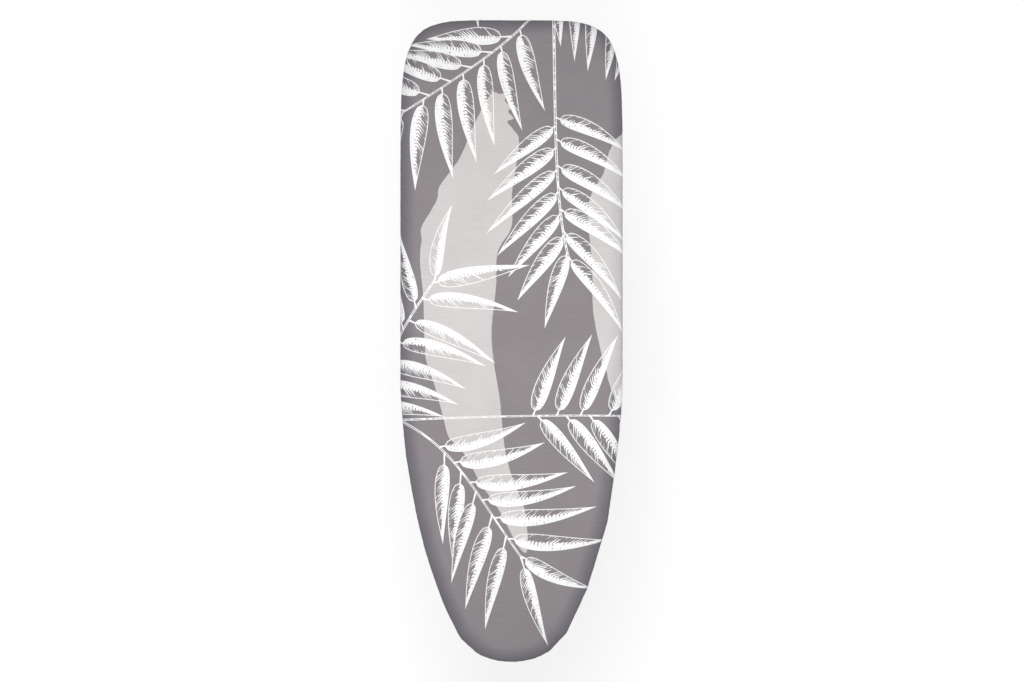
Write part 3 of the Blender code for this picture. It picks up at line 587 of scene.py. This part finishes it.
WASHES = (
    wash([(-0.040, 0.460), (-0.072, 0.400), (-0.098, 0.340), (-0.134, 0.290), (-0.140, 0.262), (-0.168, 0.214),
          (-0.168, 0.190), (-0.171, 0.152), (-0.165, 0.077), (-0.161, -0.026), (-0.147, -0.072), (-0.129, -0.138),
          (-0.117, -0.180), (-0.096, -0.200), (-0.072, -0.240), (-0.055, -0.270), (-0.020, -0.322),
          (0.010, -0.380), (0.029, -0.392), (0.026, -0.322), (0.007, -0.270), (-0.004, -0.238),
          (-0.014, -0.192), (-0.022, -0.108), (-0.034, -0.034), (-0.037, 0.026), (-0.029, 0.100),
          (-0.026, 0.165), (0.000, 0.214), (0.001, 0.276), (0.014, 0.370), (0.004, 0.394), (-0.008, 0.410),
          (0.004, 0.416), (-0.006, 0.428), (-0.001, 0.438), (-0.012, 0.448), (-0.010, 0.462), (-0.022, 0.462)],
         3, 0.0002),
    wash([(0.300, 0.420), (0.207, 0.386), (0.183, 0.354), (0.172, 0.314), (0.152, 0.280), (0.145, 0.256),
          (0.144, 0.212), (0.151, 0.142), (0.151, 0.080), (0.157, 0.028), (0.174, -0.044), (0.202, -0.120),
          (0.300, -0.220)], 4, 0.0002),
)


# ---------------------------------------------------------------- the cover
def profile(t):
    """Distance out from the flat top's edge and height under the top, at cloth distance t past that edge."""
    shoulder = SHOULDER * math.pi / 2
    side = TOP - COVER_LOW.z - SHOULDER - TURN
    turn = TURN * math.pi / 2
    out, down = np.zeros_like(t), np.zeros_like(t)
    a = (t / SHOULDER).clip(0, math.pi / 2)
    out += SHOULDER * np.sin(a)
    down += SHOULDER * (1 - np.cos(a))
    down += (t - shoulder).clip(0, side)
    b = ((t - shoulder - side) / TURN).clip(0, math.pi / 2)
    out -= TURN * (1 - np.cos(b))
    down += TURN * np.sin(b)
    out -= (t - shoulder - side - turn).clip(0)
    return out, down, shoulder + side, shoulder + side + turn


HEM_T = profile(np.zeros(1))[3] + HEM_REACH - TURN  # the cloth's cut edge


def soft_top(x, y):
    """The top's slight unevenness over the felt."""
    swell = np.sin(9.0 * x + 4.0 * y + 1.0) * np.sin(6.5 * y - 3.0 * x) + 0.5 * np.sin(23 * x + 1.7) * np.sin(19 * y)
    return 0.00022 * swell


def drape(flat):
    """The place of each point of the flat cloth once it is stretched over the board, and t for profile."""
    pull_reach = 0.060  # how far in over the top the edge's pull is felt
    pleat, pucker_depth, ripple = 0.0018, 0.00035, 0.0005
    near = np.empty(len(flat), int)
    for i in range(0, len(flat), 2000):
        part = flat[i : i + 2000]
        near[i : i + 2000] = ((part[:, None] - FLAT_EDGE[None]) ** 2).sum(2).argmin(1)
    off = flat - FLAT_EDGE[near]
    t = (off * OUT[near]).sum(1)
    slide = (off * np.stack([-OUT[near, 1], OUT[near, 0]], 1)).sum(1) / STEP_LENGTH
    at = near + slide.clip(-0.5, 0.5)
    low = np.floor(at).astype(int)
    share = (at - low)[:, None]

    def along(values):
        """The values at each point's own place between two steps of the outline."""
        values = values if values.ndim == 2 else values[:, None]
        return values[low % RING_STEPS] * (1 - share) + values[(low + 1) % RING_STEPS] * share

    edge, out = along(FLAT_EDGE), along(OUT)
    out /= np.linalg.norm(out, axis=1)[:, None]
    reach, down, side_end, turn_end = profile(t.clip(0))
    rolled = t > 0
    inner = (1 + t / pull_reach).clip(0, 1) ** 2
    fall = ((t - side_end + 0.004) / (HEM_T - side_end)).clip(0, 1)
    gather = along(GATHERS)[:, 0]
    strength = pull_of(along(BEND)[:, 0])
    pucker = along(PUCKERS)[:, 0]
    place = np.zeros((len(flat), 3))
    place[:, :2] = np.where(rolled[:, None], edge + out * reach[:, None], flat)
    place[:, 2] = TOP - down + np.where(rolled, 0, soft_top(flat[:, 0], flat[:, 1]) * (-t / 0.02).clip(0, 1))
    # The gathered hem lies in pleats, and its pull puckers the side and the outline a little.
    place[:, 2] -= pleat * fall**1.3 * strength * (1 + gather)
    swell = np.where(rolled, 1 - ((t - turn_end) / (HEM_T - turn_end)).clip(0, 1), inner)
    sideways = swell * (along(PULL)[:, 0] + pucker_depth * strength * pucker)
    sideways += rolled * ripple * strength * gather * (t / side_end).clip(0, 1)
    place[:, :2] += out * sideways[:, None]
    return place, t


def within(points, limit):
    """Whether each point lies inside a loop that has one point for each step of the board's outline."""
    away = ((points[:, None] - limit[None]) ** 2).sum(2).argmin(1)
    return ((points - limit[away]) * OUT[away]).sum(1) < 0


def clipped(outline, limit):
    """A printed shape's outline without what lies outside such a loop, cut at the loop."""
    ok = within(outline, limit)
    if not ok.any():
        return outline[:0]
    made = []
    count = len(outline)
    for i in range(count):
        j = (i + 1) % count
        if ok[i]:
            made.append(outline[i])
        if ok[i] != ok[j]:
            low, high = (outline[i], outline[j]) if ok[i] else (outline[j], outline[i])
            for _ in range(14):
                middle = (low + high) / 2
                if within(middle[None], limit)[0]:
                    low = middle
                else:
                    high = middle
            made.append(low)
    return np.array(made)


# Where the cloth has rows of points, by distance past the flat top's edge: over the shoulder, down the side,
# round the turn and across the hem. The top has a grid of points, which starts a little inside the edge.
CLOTH_ROWS = (0.0, 0.0024, 0.0048, 0.0072, 0.0096, 0.0118, 0.0150, 0.0183, 0.0216, 0.0240, 0.0263, 0.0287, 0.0310,
              0.0350, 0.0390, 0.0430, 0.0470, 0.0505, HEM_T)
GRID_PITCH = 0.009
GRID_INSET = 0.014


def cloth_mesh(shapes):
    """The flat cloth cut into triangles along the print's lines.

    Gives its points, its triangles, which faces each triangle came from, and which shape each face belongs to:
    a number in the list of kept shapes, or below 0 for a wash.
    """
    points = [FLAT_EDGE + OUT * t for t in CLOTH_ROWS]
    points.append((FLAT_EDGE - OUT * 0.004)[::2])
    points.append((FLAT_EDGE - OUT * 0.010)[::3])
    grid = []
    for row, y in enumerate(np.arange(-HALF_LENGTH, HALF_LENGTH, GRID_PITCH * 0.866)):
        for x in np.arange(-HALF_WIDTH, HALF_WIDTH, GRID_PITCH):
            grid.append((x + (row % 2) * GRID_PITCH / 2, y))
    grid = np.array(grid)
    edge, out = FLAT_EDGE[::4], OUT[::4]
    near = ((grid[:, None] - edge[None]) ** 2).sum(2).argmin(1)
    points.append(grid[((grid - edge[near]) * out[near]).sum(1) < -GRID_INSET])

    limit = FLAT_EDGE + OUT * (HEM_T - 0.0006)
    kept, faces, owners = [], [], []
    start = sum(len(p) for p in points)

    def add_face(outline, owner):
        nonlocal start
        points.append(outline)
        faces.append(list(range(start, start + len(outline))))
        owners.append(owner)
        start += len(outline)

    for shape in shapes:
        outline = clipped(shape.outline, limit)
        if len(outline) < 3:
            continue
        add_face(outline, len(kept))
        kept.append(shape)
        if shape.kind == LEAF:
            middle = shape.line[2:-2]
            middle = middle[within(middle, limit)]
            points.append(middle)
            start += len(middle)
    for i, blot in enumerate(WASHES):
        add_face(clipped(blot, limit), -1 - i)
    flat = np.concatenate(points)
    found = delaunay_2d_cdt([Vector(p) for p in flat], [], faces, 0, 1e-5, True)
    return np.array([v[:] for v in found[0]]), np.array(found[2]), found[5], owners, kept


def make_cover(look):
    """The cover as one mesh, with maps of each printed shape's own coordinates, the washes and the cloth."""
    verts, triangles, sources, owners, kept = cloth_mesh(print_shapes())
    place, t = drape(verts)
    turned_over = np.cross(verts[triangles[:, 1]] - verts[triangles[:, 0]],
                           verts[triangles[:, 2]] - verts[triangles[:, 0]]) < 0
    triangles[turned_over] = triangles[turned_over][:, ::-1]

    top = np.full(len(triangles), -1)
    band = np.zeros(len(triangles))
    for i, found in enumerate(sources):
        for source in found:
            owner = owners[source]
            if owner < 0:
                band[i] = 1
            else:
                better = top[i] < 0 or (kept[owner].kind, owner) > (kept[top[i]].kind, top[i])
                top[i] = owner if better else top[i]
    corners = triangles.reshape(-1)
    leaf = np.zeros((len(corners), 2))
    ink = np.zeros((len(corners), 2))
    for owner in np.unique(top[top >= 0]):
        mine = np.repeat(top == owner, 3)
        along, across, edge = kept[owner].coordinates(verts[corners[mine]])
        leaf[mine] = np.stack([owner + along, across], 1)
        ink[mine] = np.stack([edge, np.full(len(edge), float(kept[owner].kind))], 1)

    mesh = bpy.data.meshes.new("fitted_cover")
    mesh.from_pydata(place.tolist(), [], triangles.tolist())
    maps = {"leaf": leaf, "ink": ink, "band": np.stack([t[corners] * 1000, np.repeat(band, 3)], 1),
            "cloth": verts[corners]}
    for name, values in maps.items():
        layer = mesh.uv_layers.new(name=name, do_init=False)
        layer.uv.foreach_set("vector", values.astype(np.float32).ravel())
    mesh.shade_smooth()
    mesh.materials.append(look)
    return add_object("fitted_cover", mesh)


# ---------------------------------------------------------------- building blocks
def link(name, mesh, look, smooth=40):
    """An object with one finish, shaded smooth but for edges sharper than an angle in degrees."""
    mesh.shade_smooth()
    mesh.set_sharp_from_angle(angle=math.radians(smooth))
    mesh.materials.append(look)
    return add_object(name, mesh)


def sweep_ring(name, sections, look):
    """A closed skin: sections is an array (steps round the board, points in the section, 3)."""
    steps, size = sections.shape[:2]
    faces = []
    for i in range(steps):
        j = (i + 1) % steps
        for k in range(size):
            m = (k + 1) % size
            faces.append((i * size + k, j * size + k, j * size + m, i * size + m))
    mesh = bpy.data.meshes.new(name)
    mesh.from_pydata(sections.reshape(-1, 3).tolist(), [], faces)
    return link(name, mesh, look, 60)


def joined(name, pieces, look, smooth=40):
    """Many small closed shapes, given as (verts, faces), in one mesh."""
    verts, faces, start = [], [], 0
    for points, sides in pieces:
        verts.append(points)
        faces += [[start + i for i in side] for side in sides]
        start += len(points)
    mesh = bpy.data.meshes.new(name)
    mesh.from_pydata(np.concatenate(verts).tolist(), [], faces)
    return link(name, mesh, look, smooth)


def turned_shape(profile_points, centre, axis, sides):
    """A closed shape turned about an axis through centre, from (height, radius) points."""
    axis = np.array(axis, float)
    axis /= np.linalg.norm(axis)
    side = np.cross(axis, (0, 0, 1) if abs(axis[2]) < 0.9 else (1, 0, 0))
    side /= np.linalg.norm(side)
    other = np.cross(axis, side)
    verts, faces = [], []
    for height, radius in profile_points:
        for k in range(sides):
            a = 2 * math.pi * k / sides
            verts.append(centre + axis * height + radius * (math.cos(a) * side + math.sin(a) * other))
    for r in range(len(profile_points) - 1):
        for k in range(sides):
            m = (k + 1) % sides
            faces.append([r * sides + k, r * sides + m, (r + 1) * sides + m, (r + 1) * sides + k])
    faces.append(list(range(sides))[::-1])
    faces.append([(len(profile_points) - 1) * sides + k for k in range(sides)])
    return np.array(verts), faces


# ---------------------------------------------------------------- under the cover
def make_hem(look, thread):
    """The hem's casing round its elastic, drawn up into pleats, and the row of stitches beside it."""
    steps = 10
    gather = 1 + GATHERS
    radius = 0.0021 * (1 + 0.22 * GATHERS * (0.4 + 0.6 * BEND**0.5))
    drop = COVER_LOW.z - 0.0018 - 0.0009 * pull_of(BEND) * gather
    angle = np.arange(steps) / steps * 2 * np.pi
    sections = np.zeros((RING_STEPS, steps, 3))
    across = np.cos(angle)[None] * radius[:, None]
    sections[..., :2] = (EDGE - OUT * (HEM_REACH + 0.0012))[:, None] + OUT[:, None] * across[..., None]
    sections[..., 2] = drop[:, None] + np.sin(angle)[None] * radius[:, None] * 0.85 + 0.0012
    casing = sweep_ring("hem_casing", sections, look)

    row = EDGE - OUT * (HEM_REACH - 0.0065)
    height = COVER_LOW.z - 0.0016 * pull_of(BEND) * gather - 0.0004
    long, wide, tall = 0.00115, 0.00028, 0.00032
    sides = [(0, 2, 4), (2, 1, 4), (1, 3, 4), (3, 0, 4), (2, 0, 5), (1, 2, 5), (3, 1, 5), (0, 3, 5)]
    stitches = []
    for i in range(RING_STEPS):
        at = np.array([*row[i], height[i]])
        ahead = np.array([-OUT[i, 1], OUT[i, 0], 0.0]) * long
        side = np.array([*OUT[i], 0.0]) * wide
        up = np.array([0, 0, tall])
        stitches.append((np.array([at + ahead, at - ahead, at + side, at - side, at + up, at - up]), sides))
    return casing, joined("hem_stitches", stitches, thread, 180)


def make_pad(look):
    """A felt pad: a closed form, flat above and below, with a soft fuzzy edge."""
    count = RING_STEPS // 2
    edge, out = EDGE[::2], OUT[::2]
    rng = np.random.default_rng(2)
    fuzz = rng.normal(0, 0.00012, (count, 12))
    low, high = PAD_LOW.z, PAD_HIGH.z
    # The edge's section, as pairs of distance in from the outline and height, from below to above.
    section = [(0.034, low), (0.018, low), (0.0045, low), (0.0027, low + 0.0006), (0.0023, low + 0.0016),
               (0.0029, low + 0.0028), (0.0044, low + 0.0039), (0.0066, high - 0.0002), (0.010, high),
               (0.020, high), (0.034, high)]
    rings = []
    for k, (inset, z) in enumerate(section):
        ring = np.zeros((count, 3))
        ring[:, :2] = edge - out * (inset + np.abs(fuzz[:, k]))[:, None]
        ring[:, 2] = z
        rings.append(ring)
    verts = np.concatenate(rings)
    faces = [list(range(count))[::-1]]
    for r in range(len(rings) - 1):
        for i in range(count):
            j = (i + 1) % count
            faces.append([r * count + i, r * count + j, (r + 1) * count + j, (r + 1) * count + i])
    faces.append([(len(rings) - 1) * count + i for i in range(count)])
    mesh = bpy.data.meshes.new("felt_pad")
    mesh.from_pydata(verts.tolist(), [], faces)
    bm = bmesh.new()
    bm.from_mesh(mesh)
    bmesh.ops.recalc_face_normals(bm, faces=bm.faces)
    bmesh.ops.triangulate(bm, faces=[f for f in bm.faces if len(f.verts) > 4])
    bm.to_mesh(mesh)
    bm.free()
    return link("felt_pad", mesh, look, 50)


def make_expanded_sheet(look):
    """Expanded steel: rows of long diamonds whose strands are slit, stretched and tilted."""
    wide, tall = 0.030, 0.013  # one diamond
    strand = 0.0021
    rise = 0.0007
    middle = (SHEET_LOW.z + SHEET_HIGH.z) / 2
    verts, faces, corners = [], [], {}

    def corner(p, tilt):
        key = (round(p[0] * 1e5), round(p[1] * 1e5), tilt)
        if key not in corners:
            corners[key] = len(verts)
            verts.append((p[0], p[1], middle + tilt * rise))
        return corners[key]

    for row in range(int(2 * HALF_LENGTH / tall * 2)):
        y = -HALF_LENGTH + row * tall / 2
        for col in range(-8, 9):
            x = col * wide + (row % 2) * wide / 2
            outer = np.array([(x + wide / 2, y), (x, y + tall / 2), (x - wide / 2, y), (x, y - tall / 2)])
            if not within(outer, EDGE - OUT * 0.004).all():
                continue
            inner = np.array([x, y]) + (outer - (x, y)) * (1 - 2 * strand / tall)
            for k in range(4):
                m = (k + 1) % 4
                tilt = 0.5 if k < 2 else -0.5
                faces.append((corner(outer[k], 0.0), corner(outer[m], 0.0), corner(inner[m], tilt),
                              corner(inner[k], tilt)))
    mesh = bpy.data.meshes.new("expanded_sheet")
    mesh.from_pydata(verts, [], faces)
    made = link("expanded_sheet", mesh, look, 30)
    solid = made.modifiers.new("thickness", "SOLIDIFY")
    solid.thickness = 0.0005
    solid.offset = 0
    return made


def crossing(first, second):
    """The middle of the overlap, seen from above, of two CAD nodes' boxes."""
    a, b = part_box(first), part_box(second)
    low = [max(a[0][i], b[0][i]) for i in (0, 1)]
    high = [min(a[1][i], b[1][i]) for i in (0, 1)]
    return (low[0] + high[0]) / 2, (low[1] + high[1]) / 2


def make_rivets(look):
    """Rivet heads under the rails' top flanges: domed, but flush where the slide shoes run past."""
    # Sections as pairs of height and radius. The 14-sided heads stand on the flange's lower face.
    dome = [(0.0, 0.0034), (0.0006, 0.0034), (0.0013, 0.0026), (0.0017, 0.0013), (0.00185, 0.0002)]
    flush = [(0.0, 0.0036), (0.00006, 0.0035), (0.00010, 0.0030), (0.00011, 0.0012), (0.00012, 0.0002)]
    flange, gap = 0.0015, 0.00002
    heads = []
    for rail in ("rail_left", "rail_right"):
        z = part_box(rail)[1].z - flange + gap
        for other in ("strut_nose", "strut_front", "strut_middle", "strut_hinge", "lock_bridge"):
            x, y = crossing(rail, other)
            shape = flush if other in ("strut_nose", "strut_front") else dome
            for shift in (-0.016, 0.016) if other == "lock_bridge" else (0.0,):
                heads.append(turned_shape(shape, np.array([x, y + shift, z]), (0, 0, -1), 14))
    return joined("rail_rivets", heads, look)


def weld_bead(centre, axis, radius, size, seed):
    """A lumpy fillet of weld round a tube."""
    rng = np.random.default_rng(seed)
    sides, ring = 40, 6
    axis = np.array(axis, float) / np.linalg.norm(axis)
    side = np.cross(axis, (1, 0, 0))
    side /= np.linalg.norm(side)
    other = np.cross(axis, side)
    verts, faces = [], []
    for i in range(sides):
        a = 2 * math.pi * i / sides
        out = math.cos(a) * side + math.sin(a) * other
        lump = size * (0.85 + 0.22 * math.sin(7 * a + seed) + rng.uniform(-0.08, 0.08))
        for k in range(ring):
            b = 2 * math.pi * k / ring
            verts.append(centre + out * (radius + lump * 0.55 * math.cos(b)) + axis * lump * math.sin(b))
    for i in range(sides):
        for k in range(ring):
            j, m = (i + 1) % sides, (k + 1) % ring
            faces.append([i * ring + k, i * ring + m, j * ring + m, j * ring + k])
    return np.array(verts), faces


def middle_of(name):
    """The middle of a CAD node's box."""
    low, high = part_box(name)
    return (np.array(low) + np.array(high)) / 2


def leg_axis(name):
    """The direction up a leg's tube, from its CAD mesh."""
    points = np.array([v.co[:] for v in frame["nodes"][name].data.vertices])
    axis = np.linalg.svd(points - points.mean(0), full_matrices=False)[2][0]
    axis = axis if axis[2] > 0 else -axis
    return axis / np.linalg.norm(axis)


def make_welds(prefix, look):
    """Beads where each tube meets the foot bar, and where the brace meets each tube."""
    brace_low, brace_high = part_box(f"{prefix}_brace")
    beads = []
    for n, (side, end_x, inwards) in enumerate((("left", brace_low.x, 1), ("right", brace_high.x, -1))):
        tube = f"{prefix}_tube_{side}"
        axis = leg_axis(tube)
        foot = middle_of(f"{prefix}_foot_bar")
        foot[0] = middle_of(tube)[0]
        beads.append(weld_bead(foot + axis * 0.0112, axis, 0.0100, 0.0021, n))
        end = middle_of(f"{prefix}_brace")
        end[0] = end_x + inwards * 0.0022
        beads.append(weld_bead(end, (1, 0.0001, 0), 0.0078, 0.0016, n + 5))
    return joined(f"{prefix}_welds", beads, look, 80)


# ---------------------------------------------------------------- the scene
CAMERA_HEIGHT = 7.0  # over the board's top
PICTURE_WIDTH = 1.913856  # on the board's top
CAMERA_X = 0.0009
FLOOR_RADIUS = 45.0
FLOOR_GLOW = 0.42
WORLD_LIGHT = 0.46


def make_camera():
    """Straight above the board, from far away, with the nose at the bottom of the picture."""
    data = bpy.data.cameras.new("camera")
    data.sensor_width = 36.0
    data.lens = data.sensor_width * CAMERA_HEIGHT / PICTURE_WIDTH
    camera = add_object("camera", data)
    camera.location = (CAMERA_X, 0.0, TOP + CAMERA_HEIGHT)
    bpy.context.scene.camera = camera


def area_light(name, location, size, power):
    """A round light that points at the board and isn't seen itself."""
    data = bpy.data.lights.new(name, "AREA")
    data.shape = "DISK"
    data.size = size
    data.energy = power
    made = add_object(name, data)
    made.location = location
    made.rotation_euler = (Vector((0, 0, 0.6)) - Vector(location)).to_track_quat("-Z", "Y").to_euler()
    made.visible_camera = False


def make_studio():
    """A wide white floor that glows a little, two soft lights and an even white surround."""
    floor = Look("studio_floor", 0.9, specular=0.1)
    tone = floor.noise(3.0, 2.0)
    floor.shader.inputs["Emission Color"].default_value = (1, 1, 1, 1)
    floor.shader.inputs["Emission Strength"].default_value = FLOOR_GLOW
    floor.finish(floor.shade((0.95, 0.95, 0.95, 1), floor.step(tone, 0.2, 0.8, 0.995, 1.005)))
    mesh = bpy.data.meshes.new("floor")
    bm = bmesh.new()
    bmesh.ops.create_circle(bm, cap_ends=True, segments=96, radius=FLOOR_RADIUS)
    bmesh.ops.translate(bm, vec=(0, 0, -0.0005), verts=bm.verts)
    bm.to_mesh(mesh)
    bm.free()
    mesh.materials.append(floor.material)
    add_object("floor", mesh)
    area_light("softbox", (0.0, -0.05, 2.2), 0.6, 10.0)
    area_light("ceiling", (-0.8, 1.2, 4.6), 3.6, 30.0)
    world = bpy.data.worlds.new("studio")
    bpy.context.scene.world = world
    world.use_nodes = True
    background = world.node_tree.nodes["Background"]
    background.inputs["Color"].default_value = (1, 1, 1, 1)
    background.inputs["Strength"].default_value = WORLD_LIGHT
    bpy.context.scene.view_settings.view_transform = "Standard"


def dress_frame(looks):
    """Gives every CAD node that stays its finish."""
    slots = {s["node"]: s["material_slot"] for s in frame["record"]["subparts"]}
    for name, obj in frame["nodes"].items():
        look = looks.get(slots.get(name))
        if look is None:
            continue
        if not obj.material_slots:
            obj.data.materials.append(look)
        for held in obj.material_slots:
            held.material = look


def main():
    cotton = printed_cotton()
    paint = powder_paint("powder_paint", PAINT)
    leg_paint = powder_paint("leg_paint", PAINT)
    zinc = zinc_plate()
    black = moulded("black_plastic", (0.022, 0.022, 0.024, 1), 1400.0, 0.48)
    nylon = moulded("nylon", (0.78, 0.77, 0.73, 1), 900.0, 0.42)
    casing_cloth = plain_cotton("hem_cotton", (0.25, 0.23, 0.24, 1))
    thread = plain_cotton("thread", (0.72, 0.71, 0.70, 1))
    dress_frame({"frame_paint": paint, "leg_paint": leg_paint, "zinc": zinc, "black_plastic": black,
                 "nylon": nylon})

    cover = make_cover(cotton)
    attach(cover, "board")
    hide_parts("cover")
    casing, stitches = make_hem(casing_cloth, thread)
    for piece in (casing, stitches):
        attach(piece, "board")
    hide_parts("hem_elastic")

    pad = make_pad(felt())
    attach(pad, "board")
    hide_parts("pad")

    sheet = make_expanded_sheet(paint)
    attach(sheet, "board")
    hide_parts("mesh_top")

    rivets = make_rivets(zinc)
    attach(rivets, "board")
    for prefix in ("outer_leg", "inner_leg"):
        welds = make_welds(prefix, leg_paint)
        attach(welds, prefix)

    make_camera()
    make_studio()


main()
